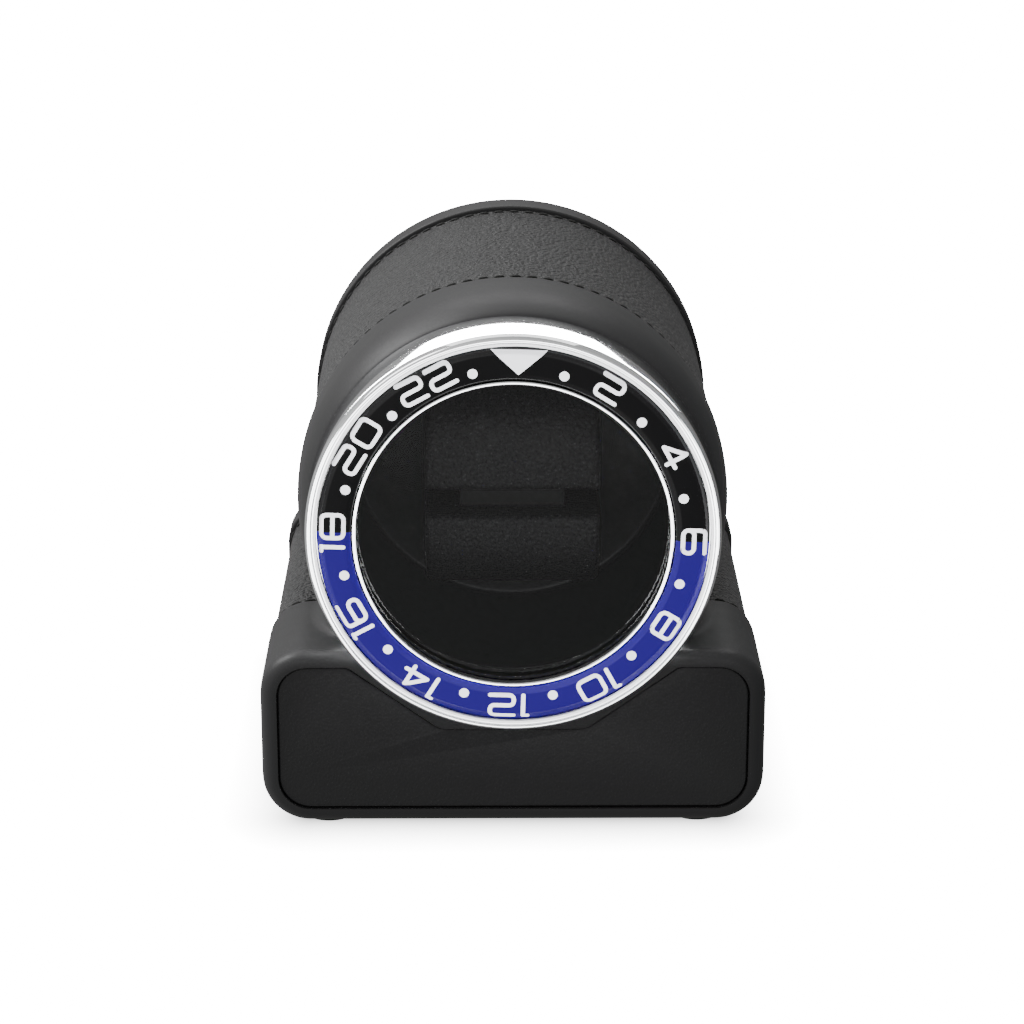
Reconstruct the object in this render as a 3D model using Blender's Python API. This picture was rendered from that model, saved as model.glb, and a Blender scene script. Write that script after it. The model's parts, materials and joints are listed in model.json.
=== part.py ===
"""Single watch winder: a leather-wrapped drum on a moulded base, with a round twist-off window cap.

The front faces -Y, +Z is up and the origin is on the resting surface, below the middle of the case.
Every size below is in millimetres. new_object() turns millimetres into metres.
"""

import math

import bmesh
import bpy
from mathutils import Vector

MM = 0.001

# Case outline, seen from the front: a round drum that flows into a wider flat-topped base.
BASE_W = 114.0
FLOOR_Z = 0.8
SHOULDER_Z = 42.0
SHOULDER_R = 10.0
CORNER_R = 11.0
FILLET_R = 4.0
DRUM_R = 49.0
AXIS_Z = 71.2

# Stations along the depth, front to back.
CAP_FRONT = -60.0
BASE_FRONT = -55.0
COLLAR_FRONT = -43.2
WRAP_FRONT = -18.7
WRAP_REAR = 52.7
RIM_FRONT = 50.2
CASE_REAR = 60.0

GAP = 0.3
WRAP_INSET = 1.0
WRAP_THICK = 1.4
SHELL_INSET = WRAP_INSET + WRAP_THICK + GAP
SHELL_THICK = 2.2
FRAME_WALL = 3.4

# Window cap and its bayonet socket.
CAP_R = 45.8
CAP_BORE_R = 46.4
SLEEVE_R = 44.6
CARRIER_R = 41.2
CARRIER_BORE_R = 36.5
GLASS_R = 36.2
INSERT_R = 43.1
INSERT_BORE_R = 35.7
LUG_R = 42.7
LUG_ANGLES = (-105.0, 15.0, 135.0)
LUG_HALF = 10.0
SLOT_HALF = 12.5
SOCKET_FRONT = -47.0

# Rotor, its bearing and its gear drive.
LINER_R = 43.6
CUP_R = 41.6
CUP_BORE_R = 39.8
CUP_FRONT = -36.0
CUP_BACK = 14.0
SHAFT_R = 3.0
BULKHEAD_Y = 22.0
BULKHEAD_THICK = 2.6
MODULE = 1.0
GEAR_TEETH = 48
PINION_TEETH = 12
GEAR_Y = 15.0
GEAR_THICK = 4.0
PRESSURE = math.radians(20)
ADDENDUM = 0.75
DEDENDUM = 1.0
BACKLASH = 0.25
MOTOR_Z = AXIS_Z + MODULE * (GEAR_TEETH + PINION_TEETH) / 2
GEARBOX_R = 12.0
MOTOR_R = 10.0

# Watch cushion: two pads on a core that plugs into the cup.
CORE_HALF_W = 12.0
CORE_LOW = 62.0
CORE_HIGH = 79.0
CORE_FRONT = -22.0
PAD_HALF_W = 20.0
PAD_FRONT = -31.0
PAD_BACK = 7.0
PAD_TOP = 96.0
PAD_SPLIT_HIGH = 72.0
PAD_SPLIT_LOW = 66.5
SQUEEZE = 5.0

# Batteries (size C) and the controls on the back.
CELL_R = 13.1
CELL_HALF_L = 25.0
CELL_X = 24.5
CELL_Z = 18.3
DOOR_HALF_W = 39.2
DOOR_HALF_L = 29.0
DOOR_FRONT = -15.6
COVER_Y = 54.0
COVER_THICK = 2.3
CONTROL_Z = 18.0
KNOB_X = 18.0
JACK_X = -18.0
SWITCH_TRAVEL = 4.0
UPPER_POST = (27.0, 99.0)
LOWER_POST = (41.0, 11.0)

ROUND = 48
SMALL_ROUND = 16

# ---------------------------------------------------------------- looks


def look(name, colour, roughness, metallic=0.0):
    """A plain Principled BSDF material."""
    made = bpy.data.materials.new(name)
    made.use_nodes = True
    shader = made.node_tree.nodes["Principled BSDF"]
    shader.inputs["Base Color"].default_value = (*colour, 1.0)
    shader.inputs["Roughness"].default_value = roughness
    shader.inputs["Metallic"].default_value = metallic
    return made


# ---------------------------------------------------------------- outlines


def arc(cx, cz, radius, start, end, steps):
    """Points on an arc, angles in degrees from +X towards +Z, both ends included."""
    turns = [math.radians(start + (end - start) * i / steps) for i in range(steps + 1)]
    return [(cx + radius * math.cos(t), cz + radius * math.sin(t)) for t in turns]


def circle(cx, cz, radius, steps):
    return arc(cx, cz, radius, 0, 360, steps)[:-1]


def arch_path(inset=0.0):
    """The case outline moved in by inset: from the right end of the floor, up and round to the left end."""
    half = BASE_W / 2 - inset
    top = SHOULDER_Z - inset
    shoulder_r = SHOULDER_R - inset
    corner_r = CORNER_R - inset
    fillet_r = FILLET_R + inset
    drum_r = DRUM_R - inset
    fillet_z = top + fillet_r
    fillet_x = math.sqrt((drum_r + fillet_r) ** 2 - (AXIS_Z - fillet_z) ** 2)
    lean = math.degrees(math.atan2(AXIS_Z - fillet_z, fillet_x))
    right = arc(half - corner_r, FLOOR_Z + inset + corner_r, corner_r, -90, 0, 5)
    right += arc(half - shoulder_r, top - shoulder_r, shoulder_r, 0, 90, 5)
    right += arc(fillet_x, fillet_z, fillet_r, 270, 180 - lean, 4)
    drum = arc(0, AXIS_Z, drum_r, -lean, 180 + lean, 40)[1:-1]
    return right + drum + [(-x, z) for x, z in reversed(right)]


def rounded(corners, steps=4):
    """A closed outline through corners (x, z, radius), each rounded by an arc."""
    points = []
    for i, (x, z, radius) in enumerate(corners):
        here = Vector((x, z))
        before = (Vector(corners[i - 1][:2]) - here).normalized()
        after = (Vector(corners[(i + 1) % len(corners)][:2]) - here).normalized()
        half_angle = before.angle(after) / 2
        centre = here + (before + after).normalized() * (radius / math.sin(half_angle))
        start = here + before * (radius / math.tan(half_angle)) - centre
        end = here + after * (radius / math.tan(half_angle)) - centre
        sweep = start.angle_signed(end)
        for k in range(steps + 1):
            turn = -sweep * k / steps
            c, s = math.cos(turn), math.sin(turn)
            points.append((centre.x + start.x * c - start.y * s, centre.y + start.x * s + start.y * c))
    return points


def base_outline(inset):
    """The base seen from the front, without the drum."""
    half, low, high = BASE_W / 2 - inset, FLOOR_Z + inset, SHOULDER_Z - inset
    top_r, low_r = SHOULDER_R - inset, CORNER_R - inset
    return rounded([(half, low, low_r), (half, high, top_r), (-half, high, top_r), (-half, low, low_r)], 5)


def panel_outline(inset):
    """The front panel: the base outline inside its rim, with a notch that clears the window cap."""
    half, low, high = BASE_W / 2 - 3.8 - inset, FLOOR_Z + 3.6 + inset, SHOULDER_Z - 3.2 - inset
    wide, narrow, dip = 37.0 + inset, 16.5 + inset * 0.4, 24.0 - inset
    right = [(half, low, 7.5), (half, high, 7.0), (wide, high, 3.0), (narrow, dip, 5.0)]
    return rounded(right + [(-x, z, r) for x, z, r in reversed(right)])


def gear_outline(teeth, cz, phase):
    """Involute spur gear outline about (0, cz). phase is the angle of one tooth's middle, in degrees."""
    pitch_r = MODULE * teeth / 2
    base_r = pitch_r * math.cos(PRESSURE)
    tip_r = pitch_r + ADDENDUM * MODULE
    root_r = pitch_r - DEDENDUM * MODULE
    half_tooth = math.pi / (2 * teeth) - BACKLASH / (2 * pitch_r)

    def half_angle(radius):
        slope = math.acos(min(1.0, base_r / radius))
        return half_tooth + (math.tan(PRESSURE) - PRESSURE) - (math.tan(slope) - slope)

    start = max(base_r, root_r)
    radii = [start + (tip_r - start) * i / 3 for i in range(4)]
    if root_r < base_r:
        radii = [root_r] + radii
    points = []
    for tooth in range(teeth):
        middle = math.radians(phase) + 2 * math.pi * tooth / teeth
        flank = [(r, half_angle(max(r, base_r))) for r in radii]
        turns = [(r, middle - a) for r, a in flank] + [(r, middle + a) for r, a in reversed(flank)]
        points += [(r * math.cos(t), cz + r * math.sin(t)) for r, t in turns]
    return points


# ---------------------------------------------------------------- solids


def skin(loops, rings=True, wrap=True):
    """A closed mesh through loops of points. rings: each loop closes. wrap: the last loop meets the first."""
    bm = bmesh.new()
    grid = [[bm.verts.new(p) for p in loop] for loop in loops]
    count = len(grid[0])
    following = grid[1:] + grid[:1] if wrap else grid[1:]
    for here, there in zip(grid, following):
        for i in range(count if rings else count - 1):
            j = (i + 1) % count
            bm.faces.new((here[i], here[j], there[j], there[i]))
    if not wrap:
        bm.faces.new(grid[0])
        bm.faces.new(grid[-1])
    if not rings:
        bm.faces.new([loop[0] for loop in grid])
        bm.faces.new([loop[-1] for loop in grid])
    return bm


def new_object(name, bm, material=None, group=None):
    """Links a mesh as an object. Its origin is its group's, which stands on the group's joint axis."""
    bmesh.ops.recalc_face_normals(bm, faces=bm.faces)
    bmesh.ops.scale(bm, vec=(MM, MM, MM), verts=bm.verts)
    if group:
        bmesh.ops.translate(bm, vec=-group.location, verts=bm.verts)
    mesh = bpy.data.meshes.new(name)
    bm.to_mesh(mesh)
    bm.free()
    mesh.shade_smooth()
    mesh.set_sharp_from_angle(angle=math.radians(35))
    made = bpy.data.objects.new(name, mesh)
    bpy.context.scene.collection.objects.link(made)
    made.parent = group
    if material:
        mesh.materials.append(material)
    return made


def joint_group(name, x, y, z):
    """An empty on a joint's axis, which the pieces of one moving body hang from."""
    empty = bpy.data.objects.new(name, None)
    empty.location = (x * MM, y * MM, z * MM)
    bpy.context.scene.collection.objects.link(empty)
    return empty


def prism(outline, y0, y1):
    return skin([[(x, y, z) for x, z in outline] for y in (y0, y1)], wrap=False)


def block(x0, x1, y0, y1, z0, z1):
    return prism([(x0, z0), (x1, z0), (x1, z1), (x0, z1)], y0, y1)


def rod(x, z, radius, y0, y1, steps=SMALL_ROUND):
    return prism(circle(x, z, radius, steps), y0, y1)


def upright(x, y, radius, z0, z1, steps=SMALL_ROUND):
    ring = circle(x, y, radius, steps)
    return skin([[(px, py, z) for px, py in ring] for z in (z0, z1)], wrap=False)


def turned(profile, x=0.0, z=AXIS_Z, steps=ROUND, solid=False):
    """A body of revolution about a line along Y. profile is (radius, y); solid caps its two ends."""
    loops = [[(px, y, pz) for px, pz in circle(x, z, r, steps)] for r, y in profile]
    return skin(loops, wrap=not solid)


def tube(outer, inner, y0, y1, x=0.0, z=AXIS_Z, steps=ROUND):
    return turned([(outer, y0), (outer, y1), (inner, y1), (inner, y0)], x, z, steps)


def sector(outer, inner, y0, y1, middle, half):
    """A piece of a tube about the drum axis."""
    corners = [(outer, y0), (outer, y1), (inner, y1), (inner, y0)]
    low, high = middle - half, middle + half
    loops = [[(px, y, pz) for px, pz in arc(0, AXIS_Z, r, low, high, 4)] for r, y in corners]
    return skin(loops, rings=False)


def arch_ring(profile):
    """A closed band with the case outline. profile is a closed list of (inset, y)."""
    return skin([[(x, y, z) for x, z in arch_path(inset)] for inset, y in profile])


def arch_solid(profile):
    return skin([[(x, y, z) for x, z in arch_path(inset)] for inset, y in profile], wrap=False)


def arch_strip(inset, thick, y0, y1):
    """An open band that follows the case outline from one end of the floor to the other."""
    corners = [(inset, y0), (inset, y1), (inset + thick, y1), (inset + thick, y0)]
    return skin([[(x, y, z) for x, z in arch_path(i)] for i, y in corners], rings=False)


def coil(centre, along, radii, length, turns, wire_r):
    """A helical spring from centre along a unit vector, its radius running from radii[0] to radii[1]."""
    along = Vector(along)
    side = along.orthogonal().normalized()
    up = along.cross(side)
    steps = int(turns * 10)
    loops = []
    for i in range(steps + 1):
        share = i / steps
        turn = 2 * math.pi * turns * share
        radius = radii[0] + (radii[1] - radii[0]) * share
        out = side * math.cos(turn) + up * math.sin(turn)
        middle = Vector(centre) + along * (length * share) + out * radius
        ring = [2 * math.pi * k / 6 for k in range(6)]
        loops.append([middle + (out * math.cos(a) + along * math.sin(a)) * wire_r for a in ring])
    return skin(loops, wrap=False)


def helper(name, bm):
    """A cutter or a shape to be joined: it isn't a part itself."""
    made = new_object(name, bm)
    made.hide_render = True
    made.display_type = "WIRE"
    return made


def combine(target, operation, *shapes):
    """Boolean modifiers on target, one for each (name, mesh) in shapes."""
    for name, bm in shapes:
        modifier = target.modifiers.new(name, "BOOLEAN")
        modifier.operation = operation
        modifier.solver = "EXACT"
        modifier.object = bm if isinstance(bm, bpy.types.Object) else helper(name, bm)
    return target


# ---------------------------------------------------------------- the case


def build_front_frame(soft_touch):
    """The moulded front: a hollow base block that carries the collar round the window cap."""
    sections = [(BASE_FRONT, 2.6), (BASE_FRONT + 0.5, 1.3), (BASE_FRONT + 1.5, 0.4), (BASE_FRONT + 3.0, 0.0)]
    sections.append((WRAP_FRONT - GAP, 0.0))
    loops = [[(x, y, z) for x, z in base_outline(inset)] for y, inset in sections]
    frame = new_object("front_frame", skin(loops, wrap=False), soft_touch)
    collar_profile = [(4.0, COLLAR_FRONT), (2.2, -41.0), (1.0, -38.0), (0.3, -34.0), (0.0, -29.0)]
    collar_profile.append((0.2, WRAP_FRONT - GAP))
    combine(frame, "UNION", ("collar_shape", arch_solid(collar_profile)))
    hollow = helper("frame_hollow", prism(base_outline(FRAME_WALL), BASE_FRONT + 5.0, WRAP_FRONT + 1.0))
    combine(hollow, "DIFFERENCE", ("hollow_limit", rod(0, AXIS_Z, CAP_BORE_R + 2.6, -60, 0, ROUND)))
    combine(
        frame,
        "DIFFERENCE",
        ("cap_bore", rod(0, AXIS_Z, CAP_BORE_R, -70, COLLAR_FRONT, ROUND)),
        ("sleeve_bore", rod(0, AXIS_Z, SLEEVE_R, -70, 0, ROUND)),
        ("frame_hollow", hollow),
        ("panel_pocket", prism(panel_outline(0.0), -70, BASE_FRONT + 2.6)),
        *[(f"front_foot_pocket_{i}", upright(s * 42, -46, 6.3, -2, 2.6)) for i, s in enumerate((1, -1))],
    )


def build_case(looks):
    soft_touch, leather, plastic = looks["soft_touch"], looks["leather"], looks["plastic"]
    build_front_frame(soft_touch)
    new_object("front_panel", prism(panel_outline(GAP), BASE_FRONT + 0.7, BASE_FRONT + 2.3), looks["panel"])
    new_object("leather_wrap", arch_strip(WRAP_INSET, WRAP_THICK, WRAP_FRONT, RIM_FRONT - GAP), leather)
    new_object("inner_shell", arch_strip(SHELL_INSET, SHELL_THICK, WRAP_FRONT, WRAP_REAR), plastic)
    back = CASE_REAR
    rear = [(0.0, WRAP_REAR + GAP), (0.0, back - 2.5), (0.6, back - 0.8), (1.8, back), (3.2, back)]
    rim = new_object("rear_frame", arch_ring(rear + [(3.2, WRAP_REAR + GAP)]), soft_touch)
    combine(rim, "UNION", ("rim_skirt", arch_strip(0.0, WRAP_INSET + WRAP_THICK, RIM_FRONT, WRAP_REAR + 1.0)))
    plate = new_object("base_plate", block(-45.7, 45.7, WRAP_FRONT, WRAP_REAR, FLOOR_Z, 4.3), plastic)
    px, pz = LOWER_POST
    posts = []
    for i, side in enumerate((1, -1)):
        posts.append((f"plate_post_{i}", block(side * px - 4, side * px + 4, 44, WRAP_REAR, 3, pz + 5)))
    combine(plate, "UNION", *posts)
    door_w, door_l = DOOR_HALF_W + 0.4, DOOR_HALF_L + 0.4
    combine(
        plate,
        "DIFFERENCE",
        ("door_opening", block(-door_w, door_w, DOOR_FRONT - 0.4, DOOR_FRONT + DOOR_HALF_L + door_l, 0, 6)),
        *[(f"rear_foot_pocket_{i}", upright(s * 36, 47.6, 3.9, -2, 2.6)) for i, s in enumerate((1, -1))],
        *[(f"plate_pilot_{i}", rod(s * px, pz, 1.5, 46, 60)) for i, s in enumerate((1, -1))],
    )
    for i, (x, y, r) in enumerate(((42, -46, 6.0), (-42, -46, 6.0), (36, 47.6, 3.6), (-36, 47.6, 3.6)), 1):
        new_object(f"foot_{i}", upright(x, y, r, 0.0, 2.3), looks["rubber"])
    build_rear_cover(looks)


def build_rear_cover(looks):
    sheet = arch_solid([(3.5, COVER_Y), (3.5, COVER_Y + COVER_THICK)])
    cover = new_object("rear_cover", sheet, looks["plastic"])
    holes = [
        ("knob_hole", rod(KNOB_X, CONTROL_Z, 3.4, 50, 60)),
        ("jack_hole", rod(JACK_X, CONTROL_Z, 4.8, 50, 60)),
        ("led_hole", rod(0, CONTROL_Z + 9, 1.8, 50, 60, 12)),
        ("switch_slot", block(-4.2, 4.2, 50, 60, CONTROL_Z - 2.2, CONTROL_Z + 2.2)),
    ]
    for i, (side, (px, pz)) in enumerate((s, p) for p in (UPPER_POST, LOWER_POST) for s in (1, -1)):
        holes.append((f"screw_hole_{i}", rod(side * px, pz, 1.7, 50, 60, 12)))
        profile = [(1.2, 48.0), (1.2, COVER_Y + 2.6), (2.8, COVER_Y + 2.6), (2.3, COVER_Y + 4.0)]
        new_object(f"rear_screw_{i + 1}", turned(profile, side * px, pz, 12, solid=True), looks["steel"])
    combine(cover, "DIFFERENCE", *holes)


# ---------------------------------------------------------------- window cap


def build_socket(plastic):
    """The fixed ring that the cap's lugs turn in: a lip with three entry slots, and a groove behind it."""
    profile = [(SLEEVE_R - GAP, SOCKET_FRONT), (SLEEVE_R - GAP, -38.3), (43.0, -38.3)]
    profile += [(43.0, -44.6), (41.6, -44.6), (41.6, SOCKET_FRONT)]
    socket = new_object("bayonet_socket", turned(profile), plastic)
    slots = [(f"entry_slot_{i}", sector(43.1, 41.0, -48, -44, a, SLOT_HALF)) for i, a in enumerate(LUG_ANGLES)]
    combine(socket, "DIFFERENCE", *slots)


def build_cap(looks):
    slide = joint_group("cap_slide_axis", 0, 0, AXIS_Z)
    cap = joint_group("cap_turn_axis", 0, 0, AXIS_Z)
    build_socket(looks["plastic"])
    new_object("window_gasket", tube(43.6, 41.8, -48.5, -47.3), looks["rubber"], slide)
    bezel = [(CAP_R, -43.5), (CAP_R, -58.2), (45.2, -59.6), (44.6, CAP_FRONT), (43.4, CAP_FRONT)]
    bezel += [(43.4, -57.0), (41.5, -57.0), (41.5, -48.8), (44.9, -48.8), (44.9, -43.5)]
    new_object("bezel_ring", turned(bezel), looks["chrome"], cap)
    insert = [(INSERT_R, -57.3), (INSERT_R, -58.6), (41.6, -59.5), (37.0, -59.5), (INSERT_BORE_R, -58.8)]
    new_object("bezel_insert", turned(insert + [(INSERT_BORE_R, -57.3)]), looks["insert"], cap)
    new_object("trim_ring", tube(35.4, 34.5, -59.2, -57.2), looks["chrome"], cap)
    new_object("window_glass", rod(0, AXIS_Z, GLASS_R, -56.9, -54.9, ROUND), looks["glass"], cap)
    carrier = [(CARRIER_R, -57.0), (CARRIER_R, -41.6), (38.4, -41.6), (38.4, -46.0), (CARRIER_BORE_R, -46.0)]
    ring = new_object("cap_carrier", turned(carrier + [(CARRIER_BORE_R, -57.0)]), looks["gloss"], cap)
    lugs = [(f"lug_{i}", sector(LUG_R, 40.6, -44.1, -41.6, a, LUG_HALF)) for i, a in enumerate(LUG_ANGLES)]
    combine(ring, "UNION", *lugs)


# ---------------------------------------------------------------- rotor and drive


def build_rotor(looks):
    rotor = joint_group("rotor_axis", 0, 0, AXIS_Z)
    floor = CUP_BACK - 2.2
    cup = [(CUP_R, CUP_FRONT), (CUP_R, CUP_BACK), (SHAFT_R + GAP, CUP_BACK), (SHAFT_R + GAP, floor)]
    cup += [(CUP_BORE_R, floor), (CUP_BORE_R, CUP_FRONT)]
    made = new_object("rotor_cup", turned(cup), looks["gloss"], rotor)
    side = CORE_HALF_W + 0.3
    dock = helper("dock_wall", block(-side - 1.8, side + 1.8, 8, floor + 0.6, CORE_LOW - 2.1, CORE_HIGH + 2.1))
    combine(dock, "DIFFERENCE", ("dock_well", block(-side, side, 5, 20, CORE_LOW - 0.3, CORE_HIGH + 0.3)))
    combine(made, "UNION", ("dock_wall", dock))
    teeth = prism(gear_outline(GEAR_TEETH, AXIS_Z, 0), GEAR_Y, GEAR_Y + GEAR_THICK)
    gear = new_object("rotor_gear", teeth, looks["nylon"], rotor)
    combine(gear, "DIFFERENCE", ("gear_bore", rod(0, AXIS_Z, SHAFT_R + GAP, 0, 30, 24)))
    shaft = [(SHAFT_R, 12.6), (SHAFT_R, 28.4), (SHAFT_R - 0.5, 28.4), (SHAFT_R - 0.5, 29.6)]
    shaft += [(SHAFT_R, 29.6), (SHAFT_R, 33.0)]
    new_object("rotor_shaft", turned(shaft, steps=24, solid=True), looks["steel"], rotor)
    new_object("bearing_inner_race", tube(4.6, SHAFT_R + GAP, 21.0, 26.0, steps=24), looks["steel"], rotor)
    new_object("shaft_clip", tube(5.0, SHAFT_R - 0.2, 28.7, 29.3, steps=24), looks["steel"], rotor)


def build_drive(looks):
    """Drum liner, bulkhead with its ball bearing, and the geared motor with its pinion."""
    new_object("drum_liner", tube(LINER_R, CUP_R + 0.8, -38.0, BULKHEAD_Y - GAP), looks["plastic"])
    back = BULKHEAD_Y + BULKHEAD_THICK
    disc = [(LINER_R, BULKHEAD_Y), (LINER_R, back), (10.5, back), (10.5, 26.0), (7.8, 26.0), (7.8, 20.6)]
    disc += [(10.5, 20.6), (10.5, BULKHEAD_Y)]
    bulkhead = new_object("bulkhead", turned(disc), looks["plastic"])
    px, pz = UPPER_POST
    posts = [(f"post_{i}", rod(s * px, pz, 3.2, back - 1, COVER_Y - GAP)) for i, s in enumerate((1, -1))]
    combine(bulkhead, "UNION", *posts)
    combine(
        bulkhead,
        "DIFFERENCE",
        ("pinion_hole", rod(0, MOTOR_Z, 3.6, 15, 30, 22)),
        *[(f"post_pilot_{i}", rod(s * px, pz, 1.5, 44, 60, 12)) for i, s in enumerate((1, -1))],
        *[(f"motor_screw_hole_{i}", rod(s * 9, MOTOR_Z, 1.4, 15, 30, 12)) for i, s in enumerate((1, -1))],
    )
    new_object("bearing_outer_race", tube(7.5, 6.3, 21.0, 26.0, steps=24), looks["steel"])
    new_object("bearing_cage", tube(6.0, 4.9, 22.0, 25.0, steps=24), looks["brass"])
    gearbox = new_object("motor_gearbox", rod(0, MOTOR_Z, GEARBOX_R, back + 0.4, 35.0, 24), looks["steel"])
    threads = [(f"gearbox_thread_{i}", rod(s * 9, MOTOR_Z, 1.4, 20, 30, 12)) for i, s in enumerate((1, -1))]
    combine(gearbox, "DIFFERENCE", *threads)
    new_object("motor_body", rod(0, MOTOR_Z, MOTOR_R, 35.3, 52.0, 24), looks["steel"])
    for i, side in enumerate((1, -1), 1):
        profile = [(2.0, 20.3), (2.0, 21.7), (1.1, 21.7), (1.1, 29.0)]
        new_object(f"motor_screw_{i}", turned(profile, side * 9, MOTOR_Z, 12, solid=True), looks["steel"])
    pinion = joint_group("pinion_axis", 0, 0, MOTOR_Z)
    outline = gear_outline(PINION_TEETH, MOTOR_Z, 180 / PINION_TEETH)
    teeth = prism(outline, GEAR_Y + 0.2, GEAR_Y + GEAR_THICK - 0.2)
    made = new_object("motor_pinion", teeth, looks["brass"], pinion)
    combine(made, "UNION", ("pinion_shaft", rod(0, MOTOR_Z, 2.0, GEAR_Y + 1, back + 0.1)))


def build_cushion(looks):
    """The cushion core pulls out of the cup; the lower pad springs up and down on it."""
    core = joint_group("cushion_axis", 0, 0, AXIS_Z)
    lower = joint_group("lower_pad_axis", 0, 0, AXIS_Z)
    floor = CUP_BACK - 2.2
    beam = block(-CORE_HALF_W, CORE_HALF_W, CORE_FRONT, floor - GAP, CORE_LOW, CORE_HIGH)
    new_object("cushion_core", beam, looks["plastic"], core)
    depth_mid = (PAD_FRONT + PAD_BACK) / 2
    half_d = (PAD_BACK - PAD_FRONT) / 2
    well = CORE_HALF_W + 0.4
    pad_bottom = 2 * AXIS_Z - PAD_TOP
    parts = (
        ("cushion_upper_pad", PAD_SPLIT_HIGH, PAD_TOP, PAD_SPLIT_HIGH - 1, CORE_HIGH + 0.4, core),
        ("cushion_lower_pad", PAD_SPLIT_LOW, pad_bottom, CORE_LOW - 0.4 - SQUEEZE, PAD_SPLIT_LOW + 1, lower),
    )
    for name, flat, far, well_low, well_high, group in parts:
        section = rounded([(-half_d, flat, 2), (half_d, flat, 2), (half_d, far, 15), (-half_d, far, 15)], 5)
        loops = [[(x, depth_mid + y, z) for y, z in section] for x in (-PAD_HALF_W, PAD_HALF_W)]
        pad = new_object(name, skin(loops, wrap=False), looks["pad_leather"], group)
        hollow = block(-well, well, CORE_FRONT - 0.4, 20, well_low, well_high)
        combine(pad, "DIFFERENCE", (f"{name}_well", hollow))
    for i, x in enumerate((7.0, -7.0), 1):
        foot = (x, -8.0, CORE_LOW - 0.1 - SQUEEZE)
        spring = coil(foot, (0, 0, 1), (2.2, 2.2), SQUEEZE - 0.8, 2.5, 0.35)
        new_object(f"pad_spring_{i}", spring, looks["steel"], core)


# ---------------------------------------------------------------- power and controls


def build_power(looks):
    mid = DOOR_FRONT + DOOR_HALF_L
    door = joint_group("battery_door_axis", 0, mid, FLOOR_Z)
    low, high = mid - DOOR_HALF_L, mid + DOOR_HALF_L
    lid = block(-DOOR_HALF_W, DOOR_HALF_W, low, high, FLOOR_Z, 3.6)
    new_object("battery_door", lid, looks["plastic"], door)
    tray = new_object("battery_tray", block(-39, 39, mid - 29, mid + 29, 4.9, 27), looks["plastic"])
    combine(tray, "DIFFERENCE", ("tray_drum_clearance", rod(0, AXIS_Z, LINER_R + 0.5, -60, 60, ROUND)))
    for side, name in ((1, "right"), (-1, "left")):
        x = side * CELL_X
        bay = (mid - 26.4, mid + 27.6)
        combine(
            tray,
            "DIFFERENCE",
            (f"{name}_bay", rod(x, CELL_Z, CELL_R + 0.5, *bay, 24)),
            (f"{name}_bay_mouth", block(x - CELL_R - 0.5, x + CELL_R + 0.5, *bay, 0, CELL_Z)),
        )
        cell = [(CELL_R, mid - CELL_HALF_L), (CELL_R, mid + CELL_HALF_L - 1.6)]
        cell += [(3.4, mid + CELL_HALF_L - 1.6), (3.4, mid + CELL_HALF_L)]
        new_object(f"battery_{name}", turned(cell, x, CELL_Z, 24, solid=True), looks["cell"])
        spring = coil((x, mid - 26.0, CELL_Z), (0, 1, 0), (5.5, 2.5), 0.55, 2.0, 0.28)
        new_object(f"contact_spring_{name}", spring, looks["steel"])
        contact_y = mid + CELL_HALF_L + 0.4
        plate = block(x - 5, x + 5, contact_y, contact_y + 0.5, CELL_Z - 5, CELL_Z + 5)
        new_object(f"contact_plate_{name}", plate, looks["steel"])


def build_controls(looks):
    new_object("circuit_board", block(-30, 30, 45.4, 47.0, 6, 30), looks["board"])
    new_object("controller_chip", block(-6, 4, 44.0, 45.1, 10, 20), looks["plastic"])
    switch = block(KNOB_X - 6, KNOB_X + 6, 47.3, 53.2, CONTROL_Z - 6, CONTROL_Z + 6)
    new_object("selector_switch", switch, looks["plastic"])
    jack = [(4.5, 47.3), (4.5, 57.0), (2.9, 57.0), (2.9, 49.0), (0.9, 49.0), (0.9, 56.2)]
    new_object("dc_jack", turned(jack, JACK_X, CONTROL_Z, 20, solid=True), looks["plastic"])
    led = [(1.4, 47.3), (1.4, 56.4), (0.8, 57.0)]
    new_object("status_led", turned(led, 0, CONTROL_Z + 9, 12, solid=True), looks["led"])
    knob_group = joint_group("selector_axis", KNOB_X, 56, CONTROL_Z)
    profile = [(3.0, 53.5), (3.0, COVER_Y + COVER_THICK + 0.4), (7.0, COVER_Y + COVER_THICK + 0.4)]
    profile += [(7.0, 59.0), (6.4, 59.7)]
    body = turned(profile, KNOB_X, CONTROL_Z, 24, solid=True)
    knob = new_object("selector_knob", body, looks["gloss"], knob_group)
    groove = block(KNOB_X - 0.6, KNOB_X + 0.6, 59, 61, CONTROL_Z + 2, CONTROL_Z + 9)
    combine(knob, "DIFFERENCE", ("knob_pointer", groove))
    slider_group = joint_group("power_switch_axis", -SWITCH_TRAVEL / 2, 56, CONTROL_Z)
    x = -SWITCH_TRAVEL / 2
    slider = block(x - 1.8, x + 1.8, 47.4, 58.6, CONTROL_Z - 1.8, CONTROL_Z + 1.8)
    new_object("power_switch", slider, looks["gloss"], slider_group)


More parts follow.
